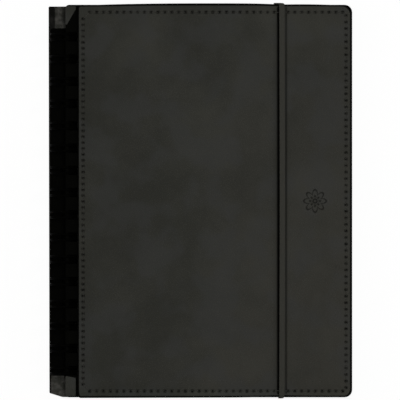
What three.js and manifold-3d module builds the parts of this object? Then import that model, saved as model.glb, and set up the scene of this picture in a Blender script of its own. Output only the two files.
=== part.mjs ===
// A wire-bound diary with a padded leatherette cover and an elastic closure.
// It lies closed on its back: +Z up through the front cover, +Y to the head, +X to the fore edge.
// Every piece is drawn about the axis of the binding wire, and one group carries it all into place.
import * as THREE from 'three';
import { mergeVertices } from 'three/addons/utils/BufferGeometryUtils.js';
import Module from 'manifold-3d';

// Driving dimensions, in millimetres

const panelWidth = 156.4;
const foreCornerRadius = 4.3;
const hingeCornerRadius = 1.5;

// The binding wire: double loops on a pitch of two to the inch, as many as the pages' height takes
const loopPitch = 12.7;
const loopSpacing = 3.2;
const ringRadius = 7.3;
const wireDiameter = 1.2;
const wireBendRadius = 1.1;
const loopClosingGap = 0.9;
const wireEndStub = 1.6;

// Pages, and how far the cover reaches past their head and their tail
const pageWidth = 155;
const pageHeight = 210;
const coverPastHead = 8.5;
const coverPastTail = 5.5;
const pageCornerRadius = 3;
const leafEdge = 1.2;
const punchClearance = 0.45;
const leafGap = 0.1;
const plannerThickness = 1.3;
const quarterThickness = 1.6;
const notesThickness = 1.5;

// Cover layers
const liningThickness = 0.8;
const liningMargin = 0.8;
const liningCornerRadius = 2;
const boardThickness = 1.3;
const boardGap = 0.2;
const skinWall = 0.7;
const skinFace = 0.6;
const grooveDepth = 0.35;
const grooveHalfWidth = 0.3;
const grooveSlope = 0.4;
const padRise = 0.5;
const padSlope = 4.5;
const edgeRound = 0.6;
const stitchInset = 3.6;
const threadWidth = 0.5;
const threadHeight = 0.3;

// The front leatherette's ends on the hinge sheet, past the wire, each longer at the spine
const tabThickness = 0.35;
const tabMargin = 0.3;
const tabHeadAtSpine = 12;
const tabHeadAtPanel = 4;
const tabTailAtSpine = 11.4;
const tabTailAtPanel = 10.2;

// The strip of the back cover that runs under the wire
const flapSkin = 0.8;
const linerThickness = 0.35;
const linerGap = 0.2;
const linerEdgeMargin = 0.6;
const linerPastWireHead = 3.4;
const linerPastWireTail = 1.4;
const flapHeadDrop = 0.8;
const flapTailDrop = 0.3;
const flapHeadCorner = 0.8;
const flapTailCorner = 4.6;
const panelClearance = 0.5;
const openGap = 0.3;

// Elastic closure
const elasticWidth = 3.7;
const elasticThickness = 1.1;
const elasticFromForeEdge = 40;
const elasticGap = 0.2;
const elasticLift = 0.1;
const elasticTopBend = 1.2;
const elasticBottomBend = 0.3;
const elasticCornerRadius = 0.45;
const elasticAnchorLength = 18;
const elasticSlotClearance = 0.3;

// Fineness of round shapes
const cornerSteps = 5;
const loopSteps = 14;
const hairpinSteps = 4;
const wireBendSteps = 2;
const wireSides = 6;

// Sizes that follow

const ringOuter = ringRadius + wireDiameter / 2;
const panelReach = ringOuter + panelClearance;
const flapReach = panelReach - openGap;
const foreReach = panelReach + panelWidth;
const pageFore = leafEdge + pageWidth;
const coverHeight = pageHeight + coverPastHead + coverPastTail;
const coverHalf = coverHeight / 2;
const skinHalf = coverHalf - liningMargin;

const loopCount = Math.floor( pageHeight / loopPitch );
const wireHalf = ((loopCount - 1) * loopPitch + loopSpacing) / 2;
const wireCentre = ( coverPastTail - coverPastHead ) / 2;

const outerHalf = ringOuter + linerGap + linerThickness + flapSkin;

// The page sections, from the back of the diary to the front
const sections = [
	{ name: 'notes_pages', thickness: notesThickness },
	{ name: 'fourth_quarter_pages', thickness: quarterThickness },
	{ name: 'third_quarter_pages', thickness: quarterThickness },
	{ name: 'second_quarter_pages', thickness: quarterThickness },
	{ name: 'first_quarter_pages', thickness: quarterThickness },
	{ name: 'year_planner_pages', thickness: plannerThickness },
];
const stackHeight = sections.reduce( ( sum, section ) => sum + section.thickness + leafGap, leafGap );
const liningInner = stackHeight / 2;
const liningOuter = liningInner + liningThickness;
const boardTop = liningOuter + boardThickness;

// The padded front rises inside its line of stitches, and the back stays flat to stand on
const frontRim = outerHalf - padRise;
const skinCeiling = frontRim - grooveDepth - skinFace;

// One punch serves every leaf: it clears the wire from the outermost sheet to the middle one
const punchNear = Math.sqrt( ( ringRadius - wireDiameter / 2 ) ** 2 - liningOuter ** 2 ) - punchClearance;
const punchFar = ringOuter + punchClearance;
const punchTall = loopSpacing + wireDiameter + 2 * punchClearance;

// Materials

function finish( color, roughness, metalness = 0 ) {

	return new THREE.MeshStandardMaterial( { color, roughness, metalness } );

}

const leatherette = () => finish( 0x2f2e2b, 0.62 );
const blackSheet = () => finish( 0x0b0b0a, 0.5 );
const greyBoard = () => finish( 0x6d6963, 0.9 );
const foam = () => finish( 0x8b8b88, 0.95 );
const paper = () => finish( 0xe9e4d6, 0.85 );
const blackWire = () => finish( 0x0d0d0d, 0.35, 0.6 );
const elasticCloth = () => finish( 0x2b2b28, 0.8 );
const sewingThread = () => finish( 0x161614, 0.8 );

// Solids

const wasm = await Module();
wasm.setup();

function solidOf( geometry ) {

	const bare = geometry.clone();
	bare.deleteAttribute( 'normal' );
	bare.deleteAttribute( 'uv' );
	const merged = mergeVertices( bare, 1e-4 );
	return new wasm.Manifold( new wasm.Mesh( {
		numProp: 3,
		vertProperties: merged.attributes.position.array,
		triVerts: new Uint32Array( merged.index.array ),
	} ) );

}

function geometryOf( solid ) {

	const mesh = solid.getMesh();
	const geometry = new THREE.BufferGeometry();
	geometry.setAttribute( 'position', new THREE.BufferAttribute( mesh.vertProperties, 3 ) );
	geometry.setIndex( new THREE.BufferAttribute( mesh.triVerts, 1 ) );
	geometry.computeVertexNormals();
	return geometry;

}

// A box between two corners
function block( low, high ) {

	const geometry = new THREE.BoxGeometry( high[ 0 ] - low[ 0 ], high[ 1 ] - low[ 1 ], high[ 2 ] - low[ 2 ] );
	geometry.translate( ( low[ 0 ] + high[ 0 ] ) / 2, ( low[ 1 ] + high[ 1 ] ) / 2, ( low[ 2 ] + high[ 2 ] ) / 2 );
	return geometry;

}

// The corners of a sheet, counter-clockwise from the tail at the spine, each rounded by its own radius
function sheetOutline( sheet, inset = 0 ) {

	const corners = [
		{ x: sheet.left, y: sheet.tail, turnX: 1, turnY: 1, from: Math.PI, radius: sheet.radii[ 0 ] },
		{ x: sheet.right, y: sheet.tail, turnX: - 1, turnY: 1, from: 1.5 * Math.PI, radius: sheet.radii[ 1 ] },
		{ x: sheet.right, y: sheet.head, turnX: - 1, turnY: - 1, from: 0, radius: sheet.radii[ 2 ] },
		{ x: sheet.left, y: sheet.head, turnX: 1, turnY: - 1, from: 0.5 * Math.PI, radius: sheet.radii[ 3 ] },
	];
	const leastRadius = 0.6;
	const points = [];
	for ( const corner of corners ) {

		const radius = Math.max( corner.radius - inset, leastRadius );
		const centreX = corner.x + corner.turnX * ( inset + radius );
		const centreY = corner.y + corner.turnY * ( inset + radius );
		for ( let step = 0; step <= cornerSteps; step ++ ) {

			const angle = corner.from + ( Math.PI / 2 ) * ( step / cornerSteps );
			points.push( new THREE.Vector2( centreX + radius * Math.cos( angle ), centreY + radius * Math.sin( angle ) ) );

		}

	}

	return points;

}

// A flat sheet of an outline, with holes, between two heights
function sheetSolid( outline, bottom, top, holes = [] ) {

	const shape = new THREE.Shape( outline );
	for ( const hole of holes ) shape.holes.push( new THREE.Path( hole ) );
	const geometry = new THREE.ExtrudeGeometry( shape, { depth: top - bottom, bevelEnabled: false } );
	geometry.translate( 0, 0, bottom );
	return geometry;

}

// A closed skin through outlines of the same number of points, with both ends filled
function loftThrough( rings ) {

	const count = rings[ 0 ].outline.length;
	const positions = [];
	const triangles = [];
	for ( const ring of rings ) {

		for ( const point of ring.outline ) positions.push( point.x, point.y, ring.height );

	}

	for ( let level = 0; level < rings.length - 1; level ++ ) {

		for ( let i = 0; i < count; i ++ ) {

			const a = level * count + i;
			const b = level * count + ( i + 1 ) % count;
			triangles.push( a, b, b + count, a, b + count, a + count );

		}

	}

	const last = ( rings.length - 1 ) * count;
	for ( let i = 1; i < count - 1; i ++ ) {

		triangles.push( 0, i + 1, i );
		triangles.push( last, last + i, last + i + 1 );

	}

	const geometry = new THREE.BufferGeometry();
	geometry.setAttribute( 'position', new THREE.Float32BufferAttribute( positions, 3 ) );
	geometry.setIndex( triangles );
	return geometry;

}

function piece( name, geometry, material ) {

	const mesh = new THREE.Mesh( geometry, material );
	mesh.name = name;
	return mesh;

}

// The punched holes, one rectangle for each double loop

function loopCentre( index ) {

	return wireCentre + ( index - ( loopCount - 1 ) / 2 ) * loopPitch;

}

function punchedHoles() {

	const holes = [];
	for ( let i = 0; i < loopCount; i ++ ) {

		const low = loopCentre( i ) - punchTall / 2;
		const high = loopCentre( i ) + punchTall / 2;
		holes.push( [
			new THREE.Vector2( punchNear, low ),
			new THREE.Vector2( punchNear, high ),
			new THREE.Vector2( punchFar, high ),
			new THREE.Vector2( punchFar, low ),
		] );

	}

	return holes;

}

// Sheets of the covers

const panelSheet = {
	left: panelReach,
	right: foreReach - liningMargin,
	tail: - skinHalf,
	head: skinHalf,
	radii: [
		hingeCornerRadius,
		foreCornerRadius - liningMargin,
		foreCornerRadius - liningMargin,
		hingeCornerRadius,
	],
};

const liningSheet = {
	left: leafEdge,
	right: foreReach,
	tail: - coverHalf,
	head: coverHalf,
	radii: [ liningCornerRadius, foreCornerRadius, foreCornerRadius, liningCornerRadius ],
};

// The leatherette wraps the board and the foam like a lid, with a sewn groove round its face
function panelSkin( rim, field ) {

	const ring = ( inset, height ) => ( { outline: sheetOutline( panelSheet, inset ), height } );
	const grooveBottom = rim - grooveDepth;
	const outerGroove = stitchInset - grooveHalfWidth;
	const innerGroove = stitchInset + grooveHalfWidth;
	const rings = [
		ring( skinWall, skinCeiling ),
		ring( skinWall, liningOuter ),
		ring( 0, liningOuter ),
		ring( 0, rim - edgeRound ),
		ring( edgeRound * 0.3, rim - edgeRound * 0.3 ),
		ring( edgeRound, rim ),
		ring( outerGroove - grooveSlope, rim ),
		ring( outerGroove, grooveBottom ),
		ring( innerGroove, grooveBottom ),
		ring( innerGroove + grooveSlope, rim ),
	];
	if ( field > rim ) {

		rings.push( ring( innerGroove + grooveSlope + padSlope * 0.4, rim + ( field - rim ) * 0.7 ) );
		rings.push( ring( innerGroove + grooveSlope + padSlope, field ) );

	}

	return loftThrough( rings );

}

// The sewing thread lies in the groove as one closed line
function threadLine( rim ) {

	const outside = sheetOutline( panelSheet, stitchInset - threadWidth / 2 );
	const inside = sheetOutline( panelSheet, stitchInset + threadWidth / 2 ).reverse();
	const bottom = rim - grooveDepth;
	return sheetSolid( outside, bottom, bottom + threadHeight, [ inside ] );

}

// The back cover's layers are the front's, turned over about the fore-and-aft line
function turnedOver( geometry ) {

	return geometry.clone().rotateX( Math.PI );

}

const boardOutline = sheetOutline( panelSheet, skinWall + boardGap );
const boardSolid = sheetSolid( boardOutline, liningOuter, boardTop );
const foamSolid = sheetSolid( boardOutline, boardTop, skinCeiling );
const liningSolid = sheetSolid( sheetOutline( liningSheet ), liningInner, liningOuter, punchedHoles() );

// Front cover

// One end of the leatherette on the hinge sheet, cut on a slant towards the panel
function hingeTab( side, atSpine, atPanel ) {

	const left = leafEdge + tabMargin;
	const right = panelReach + skinWall / 2;
	const corner = liningCornerRadius;
	const outline = [
		new THREE.Vector2( right, skinHalf - atPanel ),
		new THREE.Vector2( right, skinHalf ),
	];
	for ( let step = 0; step <= cornerSteps; step ++ ) {

		const angle = ( Math.PI / 2 ) * ( 1 + step / cornerSteps );
		outline.push( new THREE.Vector2( left + corner + corner * Math.cos( angle ), skinHalf - corner + corner * Math.sin( angle ) ) );

	}

	outline.push( new THREE.Vector2( left, skinHalf - atSpine ) );
	if ( side < 0 ) outline.reverse().forEach( ( point ) => point.setY( - point.y ) );
	return solidOf( sheetSolid( outline, liningOuter, liningOuter + tabThickness ) );

}

function frontSkin() {

	const head = hingeTab( 1, tabHeadAtSpine, tabHeadAtPanel );
	const tail = hingeTab( - 1, tabTailAtSpine, tabTailAtPanel );
	return geometryOf( solidOf( panelSkin( frontRim, outerHalf ) ).add( head ).add( tail ) );

}

const frontCover = new THREE.Group();
frontCover.add( piece( 'front_cover_skin', frontSkin(), leatherette() ) );
frontCover.add( piece( 'front_cover_foam', foamSolid, foam() ) );
frontCover.add( piece( 'front_cover_board', boardSolid, greyBoard() ) );
frontCover.add( piece( 'front_cover_lining', liningSolid, blackSheet() ) );
frontCover.add( piece( 'front_cover_thread', threadLine( frontRim ), sewingThread() ) );

// Elastic closure: where it runs, in the plane across the cover

const elasticCentre = foreReach - elasticFromForeEdge;
const elasticLeft = elasticCentre - elasticWidth / 2;
const elasticInnerFace = coverHalf + elasticGap;
const elasticOuterFace = elasticInnerFace + elasticThickness;
const frontRunBottom = outerHalf + elasticLift;
const frontRunTop = frontRunBottom + elasticThickness;
const frontRunEnd = elasticInnerFace - elasticTopBend;
const anchorTop = - liningOuter - ( boardThickness - elasticThickness ) / 2;
const anchorBottom = anchorTop - elasticThickness;
const anchorOuterEnd = skinHalf - skinWall - boardGap;

// The run from the back cover's edge up past the pages and over the front cover's edge
function edgeRun() {

	const topCentre = { y: frontRunEnd, z: frontRunBottom - elasticTopBend };
	const lowCentre = { y: elasticInnerFace - elasticBottomBend, z: anchorTop + elasticBottomBend };
	const outline = new THREE.Shape();
	outline.moveTo( anchorOuterEnd, anchorBottom );
	outline.lineTo( lowCentre.y, anchorBottom );
	outline.absarc( lowCentre.y, lowCentre.z, elasticBottomBend + elasticThickness, - Math.PI / 2, 0 );
	outline.lineTo( elasticOuterFace, topCentre.z );
	outline.absarc( topCentre.y, topCentre.z, elasticTopBend + elasticThickness, 0, Math.PI / 2 );
	outline.lineTo( topCentre.y, frontRunBottom );
	outline.absarc( topCentre.y, topCentre.z, elasticTopBend, Math.PI / 2, 0, true );
	outline.lineTo( elasticInnerFace, lowCentre.z );
	outline.absarc( lowCentre.y, lowCentre.z, elasticBottomBend, 0, - Math.PI / 2, true );
	outline.lineTo( anchorOuterEnd, anchorTop );
	const geometry = new THREE.ExtrudeGeometry( outline, {
		depth: elasticWidth,
		bevelEnabled: false,
		curveSegments: 4,
	} );
	// the outline's first axis becomes Y, its second Z, and its depth X
	const turn = new THREE.Matrix4().makeBasis(
		new THREE.Vector3( 0, 1, 0 ),
		new THREE.Vector3( 0, 0, 1 ),
		new THREE.Vector3( 1, 0, 0 ),
	);
	geometry.applyMatrix4( turn );
	geometry.translate( elasticLeft, 0, 0 );
	return geometry;

}

function roundedSection( width, height, radius ) {

	const section = new THREE.Shape();
	section.absarc( width / 2 - radius, height / 2 - radius, radius, 0, Math.PI / 2 );
	section.absarc( radius - width / 2, height / 2 - radius, radius, Math.PI / 2, Math.PI );
	section.absarc( radius - width / 2, radius - height / 2, radius, Math.PI, 1.5 * Math.PI );
	section.absarc( width / 2 - radius, radius - height / 2, radius, 1.5 * Math.PI, 2 * Math.PI );
	return section;

}

function frontRun() {

	const section = roundedSection( elasticWidth, elasticThickness, elasticCornerRadius );
	const geometry = new THREE.ExtrudeGeometry( section, {
		depth: 2 * frontRunEnd,
		bevelEnabled: false,
		curveSegments: 3,
	} );
	geometry.rotateX( Math.PI / 2 );
	geometry.translate( elasticCentre, frontRunEnd, ( frontRunBottom + frontRunTop ) / 2 );
	return geometry;

}

// The sewn-in end of the elastic, between the back board's lining and its foam
function elasticAnchor( side ) {

	const inner = side * ( anchorOuterEnd - elasticAnchorLength );
	const outer = side * anchorOuterEnd;
	return block(
		[ elasticLeft, Math.min( inner, outer ), anchorBottom ],
		[ elasticLeft + elasticWidth, Math.max( inner, outer ), anchorTop ],
	);

}

const elastic = new THREE.Group();
elastic.add( piece( 'elastic_front_run', frontRun(), elasticCloth() ) );
const headRun = piece( 'elastic_head_run', edgeRun(), elasticCloth() );
elastic.add( headRun );
const tailRun = piece( 'elastic_tail_run', edgeRun().rotateZ( Math.PI ), elasticCloth() );
tailRun.position.x = 2 * elasticCentre;
elastic.add( tailRun );

// Back cover

// What the elastic's ends need: a notch through the board and one through the skin's edge
function elasticNotch( side, innerEnd, outerEnd, bottom, top ) {

	const ends = [ side * innerEnd, side * outerEnd ];
	return solidOf( block(
		[ elasticLeft - elasticSlotClearance, Math.min( ...ends ), bottom ],
		[ elasticLeft + elasticWidth + elasticSlotClearance, Math.max( ...ends ), top ],
	) );

}

function backSkin() {

	const cutOver = 1;
	const flapSheet = {
		left: - flapReach,
		right: panelReach + skinWall / 2,
		tail: flapTailDrop - coverHalf,
		head: coverHalf - flapHeadDrop,
		radii: [ flapTailCorner, flapHeadCorner, flapHeadCorner, flapHeadCorner ],
	};
	const flap = solidOf( sheetSolid( sheetOutline( flapSheet ), - outerHalf, - outerHalf + flapSkin ) );
	let skin = solidOf( turnedOver( panelSkin( outerHalf, outerHalf ) ) ).add( flap );
	for ( const side of [ - 1, 1 ] ) {

		const notch = elasticNotch(
			side,
			anchorOuterEnd - cutOver,
			skinHalf + cutOver,
			anchorBottom - elasticSlotClearance / 2,
			- liningOuter + cutOver,
		);
		skin = skin.subtract( notch );

	}

	return geometryOf( skin );

}

function backBoard() {

	const cutOver = 1;
	let board = solidOf( turnedOver( boardSolid ) );
	for ( const side of [ - 1, 1 ] ) {

		const notch = elasticNotch(
			side,
			anchorOuterEnd - elasticAnchorLength - elasticSlotClearance,
			anchorOuterEnd + cutOver,
			- boardTop - cutOver,
			- liningOuter + cutOver,
		);
		board = board.subtract( notch );

	}

	return geometryOf( board );

}

// The punch pattern isn't centred on the cover, so the back lining is drawn, not turned over
function backLining() {

	return sheetSolid( sheetOutline( liningSheet ), - liningOuter, - liningInner, punchedHoles() );

}

function spineLiner() {

	const sheet = {
		left: - flapReach + linerEdgeMargin,
		right: panelReach - linerEdgeMargin,
		tail: wireCentre - wireHalf - linerPastWireTail,
		head: wireCentre + wireHalf + linerPastWireHead,
		radii: [ hingeCornerRadius, hingeCornerRadius, hingeCornerRadius, hingeCornerRadius ],
	};
	const bottom = - outerHalf + flapSkin;
	return sheetSolid( sheetOutline( sheet ), bottom, bottom + linerThickness );

}

// The wire is one unbroken comb. It is drawn flat, along the ring's girth and along the spine,
// and then rolled up: girth 0 is under the ring, and grows through the holes, over and round.
function wirePath() {

	const girth = 2 * Math.PI * ringRadius;
	const linkGirth = ( loopClosingGap + wireDiameter ) / 2;
	const tipGirth = girth - linkGirth;
	const hairpin = loopSpacing / 2;
	const flat = [];
	const bendRound = ( centreGirth, centreY, radius, from, to, steps ) => {

		for ( let step = 0; step <= steps; step ++ ) {

			const angle = from + ( to - from ) * ( step / steps );
			flat.push( [ centreGirth + radius * Math.cos( angle ), centreY + radius * Math.sin( angle ) ] );

		}

	};
	const bend = wireBendRadius;
	const straightFrom = linkGirth + bend;
	const straightTo = tipGirth - hairpin;
	flat.push( [ linkGirth, loopCentre( 0 ) - hairpin - bend - wireEndStub ] );
	for ( let i = 0; i < loopCount; i ++ ) {

		const centre = loopCentre( i );
		const low = centre - hairpin;
		const high = centre + hairpin;
		bendRound( straightFrom, low - bend, bend, Math.PI, Math.PI / 2, wireBendSteps );
		for ( let step = 1; step < loopSteps; step ++ ) {

			flat.push( [ straightFrom + ( straightTo - straightFrom ) * ( step / loopSteps ), low ] );

		}

		bendRound( straightTo, centre, hairpin, - Math.PI / 2, Math.PI / 2, hairpinSteps );
		for ( let step = 1; step < loopSteps; step ++ ) {

			flat.push( [ straightTo + ( straightFrom - straightTo ) * ( step / loopSteps ), high ] );

		}

		bendRound( straightFrom, high + bend, bend, - Math.PI / 2, - Math.PI, wireBendSteps );

	}

	flat.push( [ linkGirth, loopCentre( loopCount - 1 ) + hairpin + bend + wireEndStub ] );
	return flat.map( ( [ along, y ] ) => {

		const angle = along / ringRadius - Math.PI / 2;
		return new THREE.Vector3( ringRadius * Math.cos( angle ), y, ringRadius * Math.sin( angle ) );

	} );

}

// A closed tube along points, its section carried from step to step without twist
function tubeAlong( points, radius, sides ) {

	const directions = points.map( ( point, i ) => {

		const before = points[ Math.max( i - 1, 0 ) ];
		const after = points[ Math.min( i + 1, points.length - 1 ) ];
		return new THREE.Vector3().subVectors( after, before ).normalize();

	} );
	const across = new THREE.Vector3( 1, 0, 0 );
	const positions = [];
	const triangles = [];
	points.forEach( ( point, i ) => {

		across.addScaledVector( directions[ i ], - across.dot( directions[ i ] ) ).normalize();
		const up = new THREE.Vector3().crossVectors( directions[ i ], across );
		for ( let side = 0; side < sides; side ++ ) {

			const angle = 2 * Math.PI * ( side / sides );
			const place = point.clone();
			place.addScaledVector( across, radius * Math.cos( angle ) );
			place.addScaledVector( up, radius * Math.sin( angle ) );
			positions.push( place.x, place.y, place.z );

		}

	} );
	for ( let i = 0; i < points.length - 1; i ++ ) {

		for ( let side = 0; side < sides; side ++ ) {

			const a = i * sides + side;
			const b = i * sides + ( side + 1 ) % sides;
			triangles.push( a, b, b + sides, a, b + sides, a + sides );

		}

	}

	const last = ( points.length - 1 ) * sides;
	for ( let side = 1; side < sides - 1; side ++ ) {

		triangles.push( 0, side + 1, side );
		triangles.push( last, last + side, last + side + 1 );

	}

	const geometry = new THREE.BufferGeometry();
	geometry.setAttribute( 'position', new THREE.Float32BufferAttribute( positions, 3 ) );
	geometry.setIndex( triangles );
	return geometry;

}

// How near the wire's surface comes to itself, between points that lie well apart along it
function leastGapToItself( points, diameter ) {

	const apartAlong = 4;
	const along = [ 0 ];
	for ( let i = 1; i < points.length; i ++ ) along.push( along[ i - 1 ] + points[ i ].distanceTo( points[ i - 1 ] ) );
	const stretch = new THREE.Line3();
	const nearest = new THREE.Vector3();
	let least = Infinity;
	points.forEach( ( point, i ) => {

		for ( let j = i + 1; j < points.length - 1; j ++ ) {

			if ( along[ j ] - along[ i ] < apartAlong ) continue;
			stretch.set( points[ j ], points[ j + 1 ] ).closestPointToPoint( point, true, nearest );
			least = Math.min( least, nearest.distanceTo( point ) );

		}

	} );
	return least - diameter;

}

const wirePoints = wirePath();
console.log( 'binding wire, least gap to itself: ' + leastGapToItself( wirePoints, wireDiameter ).toFixed( 2 ) + ' mm' );

const backCover = new THREE.Group();
backCover.add( piece( 'back_cover_skin', backSkin(), leatherette() ) );
backCover.add( piece( 'back_cover_foam', turnedOver( foamSolid ), foam() ) );
backCover.add( piece( 'back_cover_board', backBoard(), greyBoard() ) );
backCover.add( piece( 'back_cover_lining', backLining(), blackSheet() ) );
backCover.add( piece( 'back_cover_thread', turnedOver( threadLine( outerHalf ) ), sewingThread() ) );
backCover.add( piece( 'spine_liner', spineLiner(), blackSheet() ) );
backCover.add( piece( 'binding_wire', tubeAlong( wirePoints, wireDiameter / 2, wireSides ), blackWire() ) );
backCover.add( piece( 'elastic_head_anchor', elasticAnchor( 1 ), elasticCloth() ) );
backCover.add( piece( 'elastic_tail_anchor', elasticAnchor( - 1 ), elasticCloth() ) );

// Page sections, each a punched block of leaves

const pageSheet = {
	left: leafEdge,
	right: pageFore,
	tail: wireCentre - pageHeight / 2,
	head: wireCentre + pageHeight / 2,
	radii: [ pageCornerRadius / 2, pageCornerRadius, pageCornerRadius, pageCornerRadius / 2 ],
};

const pages = new THREE.Group();
let height = - liningInner + leafGap;
for ( const section of sections ) {

	const solid = sheetSolid( sheetOutline( pageSheet ), 0, section.thickness, punchedHoles() );
	const mesh = piece( section.name, solid, paper() );
	mesh.position.z = height;
	pages.add( mesh );
	height += section.thickness + leafGap;

}

// The whole diary, carried so that its footprint is centred and its back cover stands at height 0

const diary = new THREE.Group();
diary.add( backCover, pages, frontCover, elastic );
diary.position.set( ( flapReach - foreReach ) / 2, 0, outerHalf );

const part = new THREE.Group();
part.add( diary );

export default part;
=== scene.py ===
import math

import bmesh
import bpy
import numpy as np
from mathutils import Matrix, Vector


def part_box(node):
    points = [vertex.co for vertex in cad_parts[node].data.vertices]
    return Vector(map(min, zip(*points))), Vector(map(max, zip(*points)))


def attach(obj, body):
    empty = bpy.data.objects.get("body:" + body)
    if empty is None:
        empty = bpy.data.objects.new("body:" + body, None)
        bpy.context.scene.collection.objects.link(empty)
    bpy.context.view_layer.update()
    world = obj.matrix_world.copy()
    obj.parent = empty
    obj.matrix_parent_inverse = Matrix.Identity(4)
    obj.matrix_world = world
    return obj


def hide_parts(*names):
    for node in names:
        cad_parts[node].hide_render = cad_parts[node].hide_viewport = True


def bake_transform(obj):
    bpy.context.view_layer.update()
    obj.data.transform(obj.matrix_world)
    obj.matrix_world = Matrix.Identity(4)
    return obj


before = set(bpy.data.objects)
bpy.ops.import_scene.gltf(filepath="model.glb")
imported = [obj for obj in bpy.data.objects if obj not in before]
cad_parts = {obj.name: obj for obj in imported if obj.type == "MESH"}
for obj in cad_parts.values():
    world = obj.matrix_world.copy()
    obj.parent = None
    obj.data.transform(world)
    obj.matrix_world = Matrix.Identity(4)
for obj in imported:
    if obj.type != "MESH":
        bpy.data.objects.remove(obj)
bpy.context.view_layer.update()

mm = 0.001
fullTurn = 2 * math.pi
scene = bpy.context.scene
print("diary: frame loaded, " + str(len(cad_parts)) + " nodes")


# Node trees, whose maths is written as plain expressions

def maths(operation, swapped=False):
    # a method of Value that does one operation, on itself or on itself and another value
    def act(self, *other):
        values = (*other, self) if swapped else (self, *other)
        return self.graph.node("ShaderNodeMath", dict(enumerate(values)), operation=operation)

    return act


class Value:
    # one socket of a tree, which takes part in arithmetic
    __add__ = maths("ADD")
    __radd__ = maths("ADD", swapped=True)
    __sub__ = maths("SUBTRACT")
    __rsub__ = maths("SUBTRACT", swapped=True)
    __mul__ = maths("MULTIPLY")
    __pow__ = maths("POWER")
    least = maths("MINIMUM")
    most = maths("MAXIMUM")
    fold = maths("ABSOLUTE")
    sine = maths("SINE")
    pingPong = maths("PINGPONG")

    def __init__(self, graph, socket):
        self.graph = graph
        self.socket = socket

    def wave(self):
        # the sine brought between 0 and 1
        return self.sine() * 0.5 + 0.5

    def ramp(self, low, high, atLow=0.0, atHigh=1.0):
        sockets = {0: self, 1: low, 2: high, 3: atLow, 4: atHigh}
        return self.graph.node("ShaderNodeMapRange", sockets, clamp=True, interpolation_type="SMOOTHSTEP")


class Graph:
    # a tree of nodes under way
    def __init__(self, tree):
        self.tree = tree
        tree.nodes.clear()

    def node(self, kind, sockets=None, out=0, **settings):
        # gives back the output that is asked for, a list of several, or the node itself for None
        made = self.tree.nodes.new(kind)
        for name, setting in settings.items():
            setattr(made, name, setting)
        for name, value in (sockets or {}).items():
            if isinstance(value, Value):
                self.tree.links.new(value.socket, made.inputs[name])
            else:
                made.inputs[name].default_value = value
        if out is None:
            return made
        if isinstance(out, tuple):
            return [Value(self, made.outputs[name]) for name in out]
        return Value(self, made.outputs[out])

    def vectors(self, operation, first, second):
        return self.node("ShaderNodeVectorMath", {0: first, 1: second}, operation=operation)

    def vector(self, x=0.0, y=0.0, z=0.0):
        return self.node("ShaderNodeCombineXYZ", {0: x, 1: y, 2: z})

    def seenRays(self):
        # 1 for rays that see a surface straight, in a mirror or through something
        rays = ("Is Camera Ray", "Is Glossy Ray", "Is Transmission Ray")
        straight, mirrored, through = self.node("ShaderNodeLightPath", None, rays)
        return straight.most(mirrored).most(through)


class Finish(Graph):
    # a material under way
    def __init__(self, name):
        self.material = bpy.data.materials.new(name)
        self.material.use_nodes = True
        super().__init__(self.material.node_tree)
        self.coordinates = self.node("ShaderNodeTexCoord", None, "Object")

    def along(self, axis):
        return self.node("ShaderNodeSeparateXYZ", {0: self.coordinates}, axis)

    def stretched(self, x, y, z):
        return self.node("ShaderNodeMapping", {"Vector": self.coordinates, "Scale": (x, y, z)})

    def noise(self, size, detail=2.0, roughness=0.5, vector=None):
        sockets = {"Scale": 1 / size, "Detail": detail, "Roughness": roughness}
        sockets["Vector"] = vector or self.coordinates
        return self.node("ShaderNodeTexNoise", sockets, "Fac")

    def cells(self, size, feature="F1"):
        sockets = {"Vector": self.coordinates, "Scale": 1 / size}
        return self.node("ShaderNodeTexVoronoi", sockets, "Distance", feature=feature)

    def attribute(self, name):
        return self.node("ShaderNodeAttribute", None, "Fac", attribute_name=name)

    def mix(self, amount, first, second):
        colours = [each if isinstance(each, Value) else (*each, 1.0) for each in (first, second)]
        return self.node("ShaderNodeMix", {0: amount, 6: colours[0], 7: colours[1]}, 2, data_type="RGBA")

    def surface(self, look, colour, roughness, height):
        # a look holds its finish's sheen and the depth of its bumps
        bumps = {"Height": height, "Distance": look["depth"], "Strength": 1.0}
        shader = self.node("ShaderNodeBsdfPrincipled", {
            "Base Color": colour,
            "Roughness": roughness,
            "Specular IOR Level": look["sheen"],
            "Normal": self.node("ShaderNodeBump", bumps, "Normal"),
        }, "BSDF")
        return self.shown(shader)

    def shown(self, shader):
        self.node("ShaderNodeOutputMaterial", {"Surface": shader}, None)
        return self.material


# Finishes

leatherLook = {
    "deep": (0.0176, 0.0178, 0.0148),
    "raised": (0.0296, 0.0295, 0.0248),
    "warmAndLit": (0.0352, 0.0322, 0.0264),
    "cool": (0.0274, 0.0281, 0.0274),
    "wornAndLit": (0.0470, 0.0455, 0.0408),
    # the darkest colour: painted shade in holes, creases and rims, and the pressed flower's lines
    "dark": (0.0006, 0.0006, 0.0004),
    "grainSize": 0.85 * mm,
    "poreSize": 0.28 * mm,
    "warpSize": 2.6 * mm,
    "cloudSize": 34 * mm,
    "coolSize": 20 * mm,
    "wornSize": 3.2 * mm,
    "paintedLightAlong": (-90 * mm, 30 * mm),
    "spineEdgeShade": (-85.75 * mm, -85.35 * mm),
    "headShade": (-83.7 * mm, -82.8 * mm),
    "depth": 0.055 * mm,
    "sheen": 0.03,
}


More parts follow.
